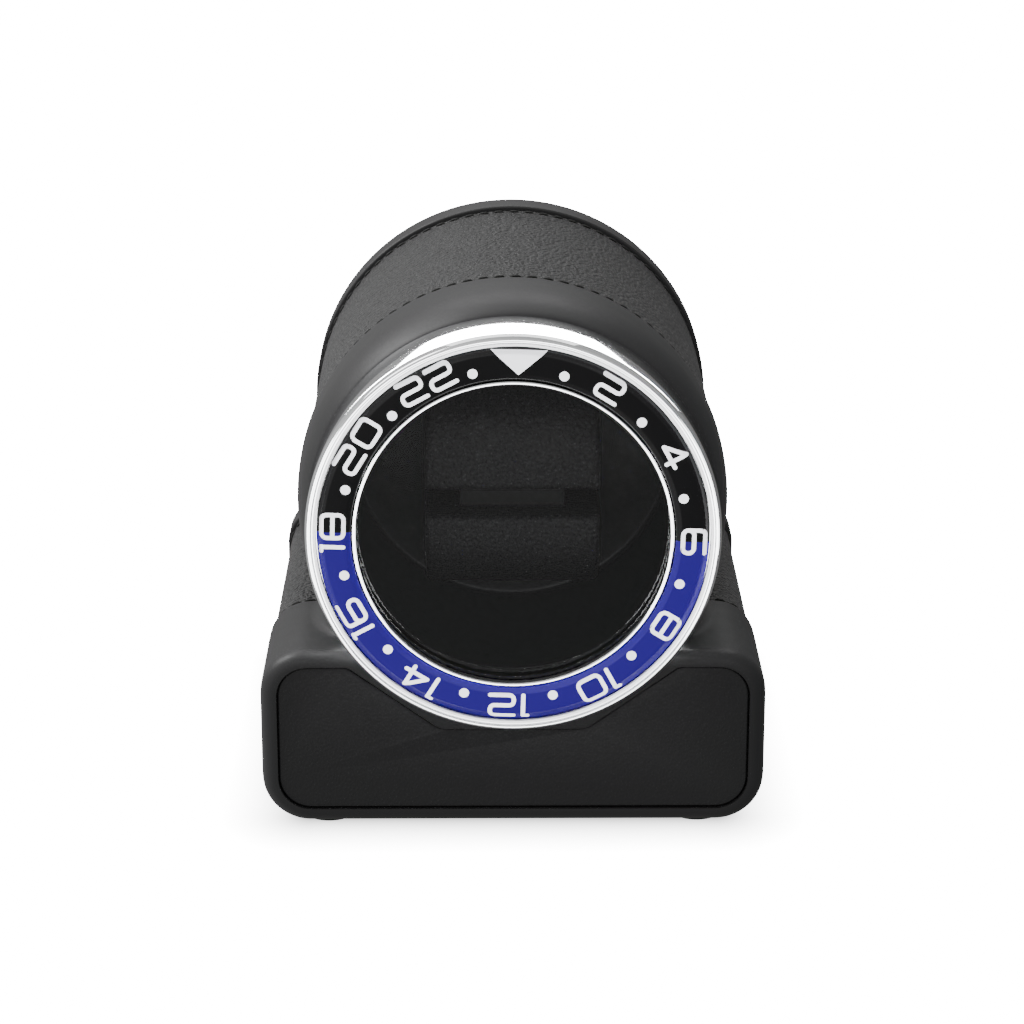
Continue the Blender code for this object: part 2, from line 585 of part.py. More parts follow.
def main():
    for old in list(bpy.data.objects):
        bpy.data.objects.remove(old)
    looks = {
        "soft_touch": look("soft_touch_plastic", (0.045, 0.045, 0.047), 0.55),
        "panel": look("panel_coating", (0.022, 0.022, 0.023), 0.6),
        "leather": look("leather", (0.035, 0.035, 0.036), 0.5),
        "pad_leather": look("cushion_leather", (0.03, 0.03, 0.031), 0.55),
        "plastic": look("black_plastic", (0.02, 0.02, 0.02), 0.5),
        "gloss": look("gloss_plastic", (0.01, 0.01, 0.01), 0.15),
        "chrome": look("chrome", (0.85, 0.86, 0.87), 0.08, 1.0),
        "insert": look("bezel_enamel", (0.02, 0.03, 0.35), 0.12),
        "glass": look("window_glass", (0.9, 0.92, 0.93), 0.02),
        "rubber": look("rubber", (0.03, 0.03, 0.03), 0.8),
        "steel": look("steel", (0.6, 0.6, 0.62), 0.3, 1.0),
        "brass": look("brass", (0.72, 0.55, 0.25), 0.3, 1.0),
        "nylon": look("white_nylon", (0.8, 0.8, 0.76), 0.45),
        "cell": look("battery_sleeve", (0.35, 0.36, 0.38), 0.35),
        "board": look("circuit_board", (0.02, 0.16, 0.06), 0.45),
        "led": look("led_lens", (0.2, 0.6, 0.25), 0.2),
    }
    build_case(looks)
    build_cap(looks)
    build_rotor(looks)
    build_drive(looks)
    build_cushion(looks)
    build_power(looks)
    build_controls(looks)


main()
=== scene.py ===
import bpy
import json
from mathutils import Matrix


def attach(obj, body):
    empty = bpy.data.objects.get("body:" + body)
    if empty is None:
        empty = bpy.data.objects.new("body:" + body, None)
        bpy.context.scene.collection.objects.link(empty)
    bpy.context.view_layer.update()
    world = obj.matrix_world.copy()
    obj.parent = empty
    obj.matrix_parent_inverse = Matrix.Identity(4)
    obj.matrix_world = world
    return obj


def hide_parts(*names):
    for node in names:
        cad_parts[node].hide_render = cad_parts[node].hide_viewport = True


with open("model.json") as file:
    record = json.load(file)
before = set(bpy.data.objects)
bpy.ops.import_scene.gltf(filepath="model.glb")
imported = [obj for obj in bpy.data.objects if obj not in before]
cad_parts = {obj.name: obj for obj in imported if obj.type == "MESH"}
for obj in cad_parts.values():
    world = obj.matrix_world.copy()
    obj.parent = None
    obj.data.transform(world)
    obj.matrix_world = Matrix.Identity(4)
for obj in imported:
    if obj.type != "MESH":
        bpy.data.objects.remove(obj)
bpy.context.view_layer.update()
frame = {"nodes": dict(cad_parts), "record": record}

import json
import math

import bmesh
import bpy
from mathutils import Vector

# Sizes in millimetres, in the frame of the CAD part: -Y is the front, +Z is up, the drum's axis is at AXIS_Z.
MM = 0.001
AXIS_Z = 71.2
FLOOR_Z = 0.8
SHOULDER_Z = 42.0
BASE_W = 114.0
SHOULDER_R = 10.0
CORNER_R = 11.0
FILLET_R = 4.0
DRUM_R = 49.0
BASE_FRONT = -55.0
COLLAR_FRONT = -43.2
WRAP_FRONT = -18.7
RIM_FRONT = 50.2
WRAP_REAR = RIM_FRONT - 0.3
REAR = 60.0
INSERT_TURN = math.radians(-1.7)
STITCH_PITCH = 3.7
STITCH_LENGTH = 2.5

# Where the controls stand on the rear cover, as (x, z).
KNOB = (18, 18)
JACK = (-18, 18)
LED = (0, 27)

# Sides of a full circle.
ROUND = 192


# ---------------------------------------------------------------- node helpers


class Nodes:
    """Short calls for building one node tree."""

    def __init__(self, tree):
        self.tree = tree

    def add(self, kind, inputs=None, **settings):
        node = self.tree.nodes.new(kind)
        for key, value in settings.items():
            setattr(node, key, value)
        for key, value in (inputs or {}).items():
            if isinstance(value, bpy.types.NodeSocket):
                self.tree.links.new(value, node.inputs[key])
            else:
                node.inputs[key].default_value = value
        return node

    def math(self, operation, a, b=0.0, clamp=False):
        return self.add("ShaderNodeMath", {0: a, 1: b}, operation=operation, use_clamp=clamp).outputs[0]

    def span(self, value, low, high, to_low=0.0, to_high=1.0):
        made = self.add("ShaderNodeMapRange", {0: value, 1: low, 2: high, 3: to_low, 4: to_high})
        return made.outputs[0]

    def mix(self, factor, a, b):
        made = self.add("ShaderNodeMix", data_type="RGBA")
        for key, value in ((0, factor), (6, a), (7, b)):
            if isinstance(value, bpy.types.NodeSocket):
                self.tree.links.new(value, made.inputs[key])
            else:
                made.inputs[key].default_value = value
        return made.outputs[2]


def material(name, colour, roughness, metallic=0.0, grain=None, mottle=0.0, coat=0.0, specular=0.5):
    """A Principled material. grain is (kind, size in mm, strength); mottle varies the roughness."""
    made = bpy.data.materials.new(name)
    made.use_nodes = True
    nodes = Nodes(made.node_tree)
    shader = made.node_tree.nodes["Principled BSDF"]
    shader.inputs["Base Color"].default_value = (*colour, 1.0)
    shader.inputs["Roughness"].default_value = roughness
    shader.inputs["Metallic"].default_value = metallic
    shader.inputs["Coat Weight"].default_value = coat
    shader.inputs["Coat Roughness"].default_value = 0.05
    shader.inputs["Specular IOR Level"].default_value = specular
    place = nodes.add("ShaderNodeTexCoord").outputs["Object"]
    if mottle:
        blotch = nodes.add("ShaderNodeTexNoise", {"Vector": place, "Scale": 120.0, "Detail": 4.0}).outputs[0]
        rough = nodes.span(blotch, 0.3, 0.7, roughness - mottle, roughness + mottle)
        made.node_tree.links.new(rough, shader.inputs["Roughness"])
    if grain:
        kind, size, strength = grain
        reach = 0.9 if kind == "leather" else 0.4
        scale = 1 / (size * MM)
        if kind == "leather":
            warp = nodes.add("ShaderNodeTexNoise", {"Vector": place, "Scale": scale * 0.6, "Detail": 3.0})
            shifted = nodes.add("ShaderNodeVectorMath", {0: warp.outputs["Color"]}, operation="SCALE")
            shifted.inputs["Scale"].default_value = size * MM * 1.2
            both = {0: place, 1: shifted.outputs[0]}
            moved = nodes.add("ShaderNodeVectorMath", both, operation="ADD").outputs[0]
            cell = nodes.add("ShaderNodeTexVoronoi", {"Vector": moved, "Scale": scale}, feature="SMOOTH_F1")
            cell.inputs["Smoothness"].default_value = 0.35
            height = nodes.math("SUBTRACT", 1.0, cell.outputs["Distance"])
            wrinkle = {"Vector": place, "Scale": scale * 3, "Detail": 2.0}
            fine = nodes.add("ShaderNodeTexNoise", wrinkle).outputs[0]
            height = nodes.math("ADD", height, nodes.math("MULTIPLY", fine, 0.35))
            # The creases between the grain's pebbles are painted darker: painted shade in the valleys of the
            # grain.
            crease_shade = nodes.span(cell.outputs["Distance"], 0.35, 0.75)
            dark = tuple(c * 0.55 for c in colour)
            tint = nodes.mix(crease_shade, (*colour, 1.0), (*dark, 1.0))
            made.node_tree.links.new(tint, shader.inputs["Base Color"])
        else:
            speckle = {"Vector": place, "Scale": scale, "Detail": 5.0}
            height = nodes.add("ShaderNodeTexNoise", speckle).outputs[0]
        relief = {"Height": height, "Strength": strength, "Distance": size * MM * reach}
        bump = nodes.add("ShaderNodeBump", relief)
        made.node_tree.links.new(bump.outputs[0], shader.inputs["Normal"])
    return made


def insert_material():
    """Gloss enamel: black above and blue below, split a little off the horizontal."""
    made = material("insert_enamel", (0.02, 0.02, 0.022), 0.12)
    nodes = Nodes(made.node_tree)
    shader = made.node_tree.nodes["Principled BSDF"]
    place = nodes.add("ShaderNodeTexCoord").outputs["Object"]
    parts = nodes.add("ShaderNodeSeparateXYZ", {0: place}).outputs
    height = nodes.math("SUBTRACT", parts[2], AXIS_Z * MM)
    across = nodes.math("MULTIPLY", parts[0], math.tan(-INSERT_TURN))
    below = nodes.span(nodes.math("ADD", height, across), 0.00004, -0.00004)
    tint = nodes.mix(below, (0.005, 0.005, 0.006, 1.0), (0.046, 0.014, 0.50, 1.0))
    made.node_tree.links.new(tint, shader.inputs["Base Color"])
    return made


def glass_material():
    """Thin clear glass: see-through, with a mirror-like share that grows at a slant."""
    made = bpy.data.materials.new("clear_glass")
    made.use_nodes = True
    tree = made.node_tree
    tree.nodes.clear()
    nodes = Nodes(tree)
    rim = nodes.add("ShaderNodeFresnel", {"IOR": 1.45}).outputs[0]
    clear = nodes.add("ShaderNodeBsdfTransparent", {"Color": (0.97, 0.98, 0.98, 1.0)}).outputs[0]
    mirror = nodes.add("ShaderNodeBsdfGlossy", {"Color": (1.0, 1.0, 1.0, 1.0), "Roughness": 0.02}).outputs[0]
    share = nodes.math("MULTIPLY", rim, 0.8)
    both = nodes.add("ShaderNodeMixShader", {0: share, 1: clear, 2: mirror}).outputs[0]
    nodes.add("ShaderNodeOutputMaterial", {"Surface": both})
    return made


# Each grain is its kind, its size in millimetres and its strength.
SOFT_GRAIN = ("fine", 0.25, 0.12)
WRAP_GRAIN = ("leather", 0.95, 1.0)
PAD_GRAIN = ("leather", 0.8, 0.45)

LOOKS = {
    "soft_touch": material("soft_touch_plastic", (0.020, 0.020, 0.021), 0.48, grain=SOFT_GRAIN, mottle=0.03),
    "panel": material("panel_coating", (0.014, 0.014, 0.015), 0.5, grain=("fine", 0.5, 0.55), mottle=0.08),
    "leather": material("black_leather", (0.030, 0.030, 0.031), 0.33, grain=WRAP_GRAIN, mottle=0.05),
    "pad_leather": material("cushion_leather", (0.03, 0.03, 0.031), 0.5, grain=PAD_GRAIN, mottle=0.05),
    "thread": material("black_thread", (0.012, 0.012, 0.012), 0.7),
    "plastic": material("black_plastic", (0.018, 0.018, 0.018), 0.5, grain=("fine", 0.3, 0.2)),
    "gloss": material("gloss_plastic", (0.007, 0.007, 0.008), 0.24),
    "chrome": material("polished_chrome", (0.86, 0.87, 0.88), 0.045, 1.0),
    "insert": insert_material(),
    "print": material("white_print", (0.82, 0.82, 0.86), 0.3),
    # This white is a painted highlight: it stands in for the bright glint on the chrome lip round the insert.
    "lip_glint_white": material("lip_glint_white", (0.8, 0.8, 0.82), 0.25),
    "glass": glass_material(),
    "rubber": material("rubber", (0.02, 0.02, 0.02), 0.8, grain=("fine", 0.4, 0.3)),
    "steel": material("steel", (0.55, 0.55, 0.57), 0.28, 1.0),
    "brass": material("brass", (0.7, 0.52, 0.22), 0.3, 1.0),
    "nylon": material("white_nylon", (0.75, 0.75, 0.71), 0.45),
    "cell": material("battery_sleeve", (0.3, 0.31, 0.33), 0.3),
    "board": material("circuit_board", (0.015, 0.12, 0.045), 0.4),
    "led": material("led_lens", (0.15, 0.5, 0.2), 0.15),
}


# ---------------------------------------------------------------- outlines and solids


def arc(cx, cz, radius, start, end, steps):
    turns = [math.radians(start + (end - start) * i / steps) for i in range(steps + 1)]
    return [(cx + radius * math.cos(t), cz + radius * math.sin(t)) for t in turns]


def circle(cx, cz, radius, steps=ROUND):
    return arc(cx, cz, radius, 0, 360, steps)[:-1]


def arch_path(inset=0.0, fine=6):
    """The case outline moved in by inset: from the right end of the floor, up and round to the left end."""
    half, top = BASE_W / 2 - inset, SHOULDER_Z - inset
    shoulder_r, corner_r = SHOULDER_R - inset, CORNER_R - inset
    fillet_r, drum_r = FILLET_R + inset, DRUM_R - inset
    fillet_z = top + fillet_r
    fillet_x = math.sqrt((drum_r + fillet_r) ** 2 - (AXIS_Z - fillet_z) ** 2)
    lean = math.degrees(math.atan2(AXIS_Z - fillet_z, fillet_x))
    right = arc(half - corner_r, FLOOR_Z + inset + corner_r, corner_r, -90, 0, 4 * fine)
    right += arc(half - shoulder_r, top - shoulder_r, shoulder_r, 0, 90, 4 * fine)
    right += arc(fillet_x, fillet_z, fillet_r, 270, 180 - lean, 3 * fine)
    drum = arc(0, AXIS_Z, drum_r, -lean, 180 + lean, 34 * fine)[1:-1]
    return right + drum + [(-x, z) for x, z in reversed(right)]


def rounded(corners, steps=8):
    """A closed outline through corners (x, z, radius), each rounded by an arc."""
    points = []
    for i, (x, z, radius) in enumerate(corners):
        here = Vector((x, z))
        before = (Vector(corners[i - 1][:2]) - here).normalized()
        after = (Vector(corners[(i + 1) % len(corners)][:2]) - here).normalized()
        half_angle = before.angle(after) / 2
        if half_angle > math.radians(88) or radius <= 0:
            points.append((x, z))
            continue
        centre = here + (before + after).normalized() * (radius / math.sin(half_angle))
        start = here + before * (radius / math.tan(half_angle)) - centre
        end = here + after * (radius / math.tan(half_angle)) - centre
        sweep = start.angle_signed(end)
        for k in range(steps + 1):
            turn = -sweep * k / steps
            c, s = math.cos(turn), math.sin(turn)
            points.append((centre.x + start.x * c - start.y * s, centre.y + start.x * s + start.y * c))
    return points


def between(a, b, c, d, t):
    """The value a share t of the way from b to c, on a Catmull-Rom curve through a, b, c and d."""
    bend = (2 * a - 5 * b + 4 * c - d) * t * t + (3 * b - a - 3 * c + d) * t ** 3
    return 0.5 * (2 * b + (c - a) * t + bend)


def smooth_path(points, fine):
    """A Catmull-Rom curve through 2-D points."""
    ends = [points[0]] + list(points) + [points[-1]]
    path = []
    for p0, p1, p2, p3 in zip(ends, ends[1:], ends[2:], ends[3:]):
        for i in range(fine):
            path.append(tuple(between(*values, i / fine) for values in zip(p0, p1, p2, p3)))
    return path + [points[-1]]


def base_outline(inset):
    half, low, high = BASE_W / 2 - inset, FLOOR_Z + inset, SHOULDER_Z - inset
    top_r, low_r = SHOULDER_R - inset, CORNER_R - inset
    return rounded([(half, low, low_r), (half, high, top_r), (-half, high, top_r), (-half, low, low_r)], 20)


def panel_outline(inset):
    half, low, high = BASE_W / 2 - 3.8 - inset, FLOOR_Z + 3.6 + inset, SHOULDER_Z - 3.2 - inset
    wide, narrow, dip = 37.0 + inset, 16.5 + inset * 0.4, 24.0 - inset
    right = [(half, low, 7.5 - inset), (half, high, 7.0 - inset)]
    right += [(wide, high, 3.0 + inset), (narrow, dip, 5.0)]
    return rounded(right + [(-x, z, r) for x, z, r in reversed(right)], 12)


def skin(loops, rings=True, wrap=True):
    bm = bmesh.new()
    grid = [[bm.verts.new(p) for p in loop] for loop in loops]
    count = len(grid[0])
    following = grid[1:] + grid[:1] if wrap else grid[1:]
    for here, there in zip(grid, following):
        for i in range(count if rings else count - 1):
            j = (i + 1) % count
            bm.faces.new((here[i], here[j], there[j], there[i]))
    if not wrap:
        bm.faces.new(grid[0])
        bm.faces.new(grid[-1])
    if not rings:
        bm.faces.new([loop[0] for loop in grid])
        bm.faces.new([loop[-1] for loop in grid])
    bmesh.ops.recalc_face_normals(bm, faces=bm.faces)
    return bm


def prism(outline, y0, y1):
    return skin([[(x, y, z) for x, z in outline] for y in (y0, y1)], wrap=False)


def rod(x, z, radius, y0, y1, steps=ROUND):
    return prism(circle(x, z, radius, steps), y0, y1)


def block(x0, x1, y0, y1, z0, z1):
    return prism([(x0, z0), (x1, z0), (x1, z1), (x0, z1)], y0, y1)


def turned(profile, x=0.0, z=AXIS_Z, steps=ROUND, solid=False):
    """A body of revolution. profile is (radius, y) or (radius, y, rounding) corners."""
    if len(profile[0]) == 3:
        profile = rounded(profile, 5)
    loops = [[(px, y, pz) for px, pz in circle(x, z, r, steps)] for r, y in profile]
    return skin(loops, wrap=not solid)


def sector(outer, inner, y0, y1, middle, half, steps=16):
    corners = rounded([(outer, y0, 0.25), (outer, y1, 0.25), (inner, y1, 0.25), (inner, y0, 0.25)], 3)
    low, high = middle - half, middle + half
    loops = [[(px, y, pz) for px, pz in arc(0, AXIS_Z, r, low, high, steps)] for r, y in corners]
    return skin(loops, rings=False)


def raw_object(name, bm):
    bmesh.ops.scale(bm, vec=(MM, MM, MM), verts=bm.verts)
    mesh = bpy.data.meshes.new(name)
    bm.to_mesh(mesh)
    bm.free()
    made = bpy.data.objects.new(name, mesh)
    bpy.context.scene.collection.objects.link(made)
    return made


def combine(target, operation, *shapes):
    """Joins or cuts at once, and removes the shapes used."""
    for bm in shapes:
        other = bm if isinstance(bm, bpy.types.Object) else raw_object("shape", bm)
        modifier = target.modifiers.new("combine", "BOOLEAN")
        modifier.operation, modifier.solver, modifier.object = operation, "EXACT", other
        apply_modifiers(target)
        bpy.data.objects.remove(other)
    return target


def apply_modifiers(made):
    bpy.context.view_layer.update()
    graph = bpy.context.evaluated_depsgraph_get()
    mesh = bpy.data.meshes.new_from_object(made.evaluated_get(graph))
    made.modifiers.clear()
    made.data = mesh


def show(made, look, body, nodes=(), sharp=30):
    """Finishes a piece: its material, the CAD body it rides on and the CAD nodes it stands for."""
    if not isinstance(made, bpy.types.Object):
        made = raw_object(nodes[0] + "_shown" if nodes else look, made)
    made.data.materials.clear()
    made.data.materials.append(LOOKS[look])
    made.data.shade_smooth()
    made.data.set_sharp_from_angle(angle=math.radians(sharp))
    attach(made, body)
    if nodes:
        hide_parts(*nodes)
    return made


# ---------------------------------------------------------------- case


def make_front_frame():
    """A block and a bulged collar, melted together, then cut for the cap, the panel and the inside."""
    edge_r = 3.2
    turns = [math.radians(90 - 7.5 * i) for i in range(13)]
    sections = [(BASE_FRONT + edge_r * (1 - math.sin(t)), edge_r * (1 - math.cos(t))) for t in turns]
    loops = [[(x, y, z) for x, z in base_outline(inset)] for y, inset in sections]
    loops.append([(x, WRAP_FRONT - 0.3, z) for x, z in base_outline(0.0)])
    frame_made = raw_object("front_frame_shown", skin(loops, wrap=False))
    stations = [(3.6, COLLAR_FRONT), (3.1, -42.5), (2.3, -41.0), (1.1, -38.0), (0.25, -34.0), (0.0, -29.0),
                (0.0, -24.0), (0.35, WRAP_FRONT - 0.3)]
    collar = smooth_path(stations, 6)
    rings = [[(x, y, z) for x, z in arch_path(inset)] for inset, y in collar]
    combine(frame_made, "UNION", skin(rings, wrap=False))
    remesh = frame_made.modifiers.new("melt", "REMESH")
    remesh.mode, remesh.voxel_size = "VOXEL", 0.75 * MM
    smooth = frame_made.modifiers.new("melt_smooth", "SMOOTH")
    smooth.factor, smooth.iterations = 0.5, 8
    apply_modifiers(frame_made)
    hollow = raw_object("hollow", prism(base_outline(3.4), BASE_FRONT + 5.0, WRAP_FRONT + 1.0))
    combine(hollow, "DIFFERENCE", rod(0, AXIS_Z, 49.0, -60, 0))
    cap_bore = turned([(46.4, -70.0), (46.4, COLLAR_FRONT), (44.6, COLLAR_FRONT), (44.6, 0.0)], solid=True)
    combine(frame_made, "DIFFERENCE", cap_bore, hollow, prism(panel_outline(0.0), -70, BASE_FRONT + 2.6))
    return show(frame_made, "soft_touch", "housing", ("front_frame",))


def make_case():
    """The front frame, the panel, the leather, the rear rim and cover, and the screws and feet."""
    make_front_frame()
    steps = [(0.0, 2.2), (0.0, 0.95), (0.08, 0.75), (0.25, 0.65)]
    loops = [[(x, BASE_FRONT + deep, z) for x, z in panel_outline(0.3 + inset)] for inset, deep in steps]
    show(skin(loops, wrap=False), "panel", "housing", ("front_panel",))
    make_leather()
    rear = [(0.0, RIM_FRONT, 0.5), (0.0, REAR, 2.2), (3.2, REAR, 0.6), (3.2, 53.0, 0.1), (2.4, 53.0, 0.1)]
    rear = rounded(rear + [(2.4, RIM_FRONT, 0.2)], 8)
    rim = skin([[(x, y, z) for x, z in arch_path(i)] for i, y in rear])
    show(rim, "soft_touch", "housing", ("rear_frame",))
    levels = ((3.5, 54.0), (3.5, 56.1), (3.7, 56.3))
    loops = [[(x, y, z) for x, z in arch_path(inset)] for inset, y in levels]
    cover = raw_object("rear_cover_shown", skin(loops, wrap=False))
    cuts = [rod(*KNOB, 3.4, 50, 60, 64), rod(*JACK, 4.8, 50, 60, 64), rod(*LED, 1.8, 50, 60, 48)]
    cuts.append(block(-4.2, 4.2, 50, 60, 15.8, 20.2))
    screws = [(side * x, z) for x, z in ((27, 99), (41, 11)) for side in (1, -1)]
    cuts += [rod(x, z, 1.7, 50, 60, 32) for x, z in screws]
    show(combine(cover, "DIFFERENCE", *cuts), "plastic", "housing", ("rear_cover",))
    head = [(1.2, 48.0), (1.2, 56.5), (2.8, 56.5), (2.8, 56.9), (2.5, 57.5), (1.8, 57.9), (0.9, 58.0)]
    arms = ((0.3, 1.6), (1.6, 0.3))
    for i, (x, z) in enumerate(screws):
        screw = raw_object(f"screw_{i}", turned(head, x, z, 40, solid=True))
        cross = [block(x - w, x + w, 57.0, 60, z - h, z + h) for w, h in arms]
        show(combine(screw, "DIFFERENCE", *cross), "steel", "housing", (f"rear_screw_{i + 1}",))
    feet = ((42, -46, 6.0), (-42, -46, 6.0), (36, 47.6, 3.6), (-36, 47.6, 3.6))
    for i, (x, y, r) in enumerate(feet, 1):
        levels = [(r - 0.5, 0.0), (r - 0.15, 0.15), (r, 0.5), (r, 2.3)]
        show(skin([[(px, py, z) for px, py in circle(x, y, q, 64)] for q, z in levels], wrap=False),
             "rubber", "housing", (f"foot_{i}",))


def make_leather():
    """The wrap: an open band whose edges roll in, with a groove under each row of stitches."""
    section = [(2.4, WRAP_FRONT), (1.5, WRAP_FRONT), (1.15, WRAP_FRONT + 0.15), (1.0, WRAP_FRONT + 0.5)]
    section += [(1.0, WRAP_FRONT + 1.2), (1.16, WRAP_FRONT + 1.7), (1.0, WRAP_FRONT + 2.3)]
    section += [(0.98, WRAP_FRONT + 4 + i * 4.0) for i in range(16)]
    section += [(1.0, WRAP_REAR - 2.3), (1.16, WRAP_REAR - 1.7), (1.0, WRAP_REAR - 1.2)]
    section += [(1.0, WRAP_REAR - 0.5), (1.15, WRAP_REAR - 0.15), (1.5, WRAP_REAR), (2.4, WRAP_REAR)]
    loops = [[(x, y, z) for x, z in arch_path(inset)] for inset, y in section]
    show(skin(loops, rings=False), "leather", "housing", ("leather_wrap",), sharp=60)
    path = [Vector((x, 0, z)) for x, z in arch_path(1.0)]
    stitches = bmesh.new()
    for y in (WRAP_FRONT + 1.7, WRAP_REAR - 1.7):
        along, wanted = 0.0, STITCH_PITCH
        for a, b in zip(path, path[1:]):
            step = (b - a).length
            while along + step >= wanted:
                middle = a + (b - a) * ((wanted - along) / step)
                add_stitch(stitches, middle + Vector((0, y, 0)), (b - a).normalized())
                wanted += STITCH_PITCH
            along += step
    show(raw_object("wrap_stitching", stitches), "thread", "housing", sharp=80)


def add_stitch(bm, centre, along):
    """One thread stitch: a slim pill that dips at both ends."""
    out = Vector((0, 1, 0)).cross(along)
    if (centre - Vector((0, centre.y, 40))).dot(out) < 0:
        out = -out
    rings = []
    for i in range(7):
        share = i / 6 * 2 - 1
        radius = 0.3 * math.sqrt(max(0.04, 1 - share ** 4))
        middle = centre + along * (share * STITCH_LENGTH / 2) + out * (0.12 - 0.22 * share ** 4)
        turns = [2 * math.pi * k / 8 for k in range(8)]
        ring = [out * (radius * math.cos(t)) + Vector((0, radius * math.sin(t), 0)) for t in turns]
        rings.append([bm.verts.new(middle + offset) for offset in ring])
    for here, there in zip(rings, rings[1:]):
        for k in range(8):
            bm.faces.new((here[k], here[(k + 1) % 8], there[(k + 1) % 8], there[k]))
    bm.faces.new(rings[0])
    bm.faces.new(list(reversed(rings[-1])))


# ---------------------------------------------------------------- window cap


def insert_height(radius):
    """How far forward the bezel insert's face stands at a radius."""
    stations = [(35.7, -58.8), (37.0, -59.5), (41.6, -59.5), (43.1, -58.6)]
    for (r0, y0), (r1, y1) in zip(stations, stations[1:]):
        if radius <= r1:
            return y0 + (y1 - y0) * max(0.0, (radius - r0) / (r1 - r0))
    return stations[-1][1]


def on_insert(across, outward, clock, lift=0.035):
    """A point of the print: across and outward in mm, about a place clock degrees clockwise from the top."""
    turn = math.radians(90 - clock) + INSERT_TURN
    x = outward * math.cos(turn) + across * math.sin(turn)
    z = outward * math.sin(turn) - across * math.cos(turn)
    return (x, insert_height(math.hypot(x, z)) - lift, AXIS_Z + z)


def ribbon(bm, path, width, clock, lift):
    """A stroke of print along a path of (across, outward) points. An open path gets round ends."""
    fine = []
    for a, b in zip(path, path[1:]):
        a, b = Vector(a), Vector(b)
        count = max(1, int((b - a).length / 0.25))
        fine += [a + (b - a) * (i / count) for i in range(count)]
    fine.append(Vector(path[-1]))
    rows = []
    for i, here in enumerate(fine):
        tangent = (fine[min(i + 1, len(fine) - 1)] - fine[max(i - 1, 0)]).normalized()
        normal = Vector((-tangent.y, tangent.x))
        points = [here + normal * (width / 2 * k) for k in (-1, -0.33, 0.33, 1)]
        rows.append([bm.verts.new(on_insert(p.x, p.y, clock, lift)) for p in points])
    for here, there in zip(rows, rows[1:]):
        for k in range(3):
            bm.faces.new((here[k], here[k + 1], there[k + 1], there[k]))
    if path[0] != path[-1]:
        for end in (fine[0], fine[-1]):
            disc(bm, end.x, end.y, width / 2, clock, 20, lift + 0.006)


def disc(bm, across, outward, radius, clock, steps=20, lift=0.037):
    """A round spot of print that follows the insert's face."""
    centre = bm.verts.new(on_insert(across, outward, clock, lift))
    rings = []
    for share in (0.5, 1.0):
        turns = [2 * math.pi * k / steps for k in range(steps)]
        reach = radius * share
        edge = [(across + reach * math.cos(t), outward + reach * math.sin(t)) for t in turns]
        rings.append([bm.verts.new(on_insert(a, o, clock, lift)) for a, o in edge])
    for k in range(steps):
        j = (k + 1) % steps
        bm.faces.new((centre, rings[0][k], rings[0][j]))
        bm.faces.new((rings[0][k], rings[1][k], rings[1][j], rings[0][j]))


def digit_paths(digit, half, tall):
    """Squarish numerals with rounded corners, as strokes in a box 2*half wide and tall high."""
    mid, bend = tall / 2, min(1.15, half * 0.75)

    def box(low, high):
        ring = rounded([(half, low, bend), (half, high, bend), (-half, high, bend), (-half, low, bend)], 5)
        return ring + [ring[0]]

    def soft(points):
        """An open path whose inner corners are rounded."""
        path = [points[0]]
        for before, here, after in zip(points, points[1:], points[2:]):
            here_v = Vector(here)
            a = here_v + (Vector(before) - here_v).normalized() * bend
            b = here_v + (Vector(after) - here_v).normalized() * bend
            for i in range(7):
                t = i / 6
                path.append(tuple(a * (1 - t) ** 2 + here_v * (2 * t * (1 - t)) + b * t ** 2))
        return path + [points[-1]]

    low, high, left, right = 0.0, tall, -half, half
    return {
        "0": [box(low, high)],
        "1": [[(0.2, low), (0.2, high)], [(0.2, high), (-0.8, high)]],
        "2": [soft([(left, high), (right, high), (right, mid), (left, mid), (left, low), (right, low)])],
        "4": [[(right * 0.45, low), (right * 0.45, high)], [(right * 0.45, high), (left, low + 1.3)],
              [(left, low + 1.3), (right, low + 1.3)]],
        "6": [box(low, mid), soft([(right, high), (left, high), (left, low + bend)])],
        "8": [box(low, high), [(left, mid), (right, mid)]],
    }[digit]


def make_print():
    """White hour print: a triangle at the top, even hours as numerals and odd hours as dots."""
    bm = bmesh.new()
    tip, top, reach = 37.0, 42.5, 6.2
    for i in range(24):
        rows = []
        for j in range(2):
            share = (i + j) / 24
            outward = tip + (top - tip) * share
            row = [(reach * share * k / 6, outward - 0.02 * abs(k)) for k in range(-6, 7)]
            rows.append([bm.verts.new(on_insert(a, o, 0.0)) for a, o in row])
        for k in range(12):
            bm.faces.new((rows[0][k], rows[0][k + 1], rows[1][k + 1], rows[1][k]))
    bmesh.ops.remove_doubles(bm, verts=bm.verts, dist=1e-5)
    foot, tall, half, narrow, gap, stroke = 37.2, 4.85, 2.65, 0.5, 1.8, 0.95
    for hour in range(1, 24):
        clock = hour * 15.0
        if hour % 2:
            disc(bm, 0.0, 38.2, 1.1, clock, 28)
            continue
        text = str(hour)
        lift = 0.03
        widths = [narrow if c == "1" else half for c in text]
        total = sum(2 * w for w in widths) + gap * (len(text) - 1)
        start = -total / 2
        for c, w in zip(text, widths):
            for path in digit_paths(c, w, tall):
                shifted = [(x + start + w, z + foot) for x, z in path]
                ribbon(bm, shifted, stroke, clock, lift)
                lift += 0.012
            start += 2 * w + gap
    bmesh.ops.recalc_face_normals(bm, faces=bm.faces)
    for face in bm.faces:
        if face.normal.y > 0:
            face.normal_flip()
    show(raw_object("bezel_print", bm), "print", "window_cap", sharp=80)


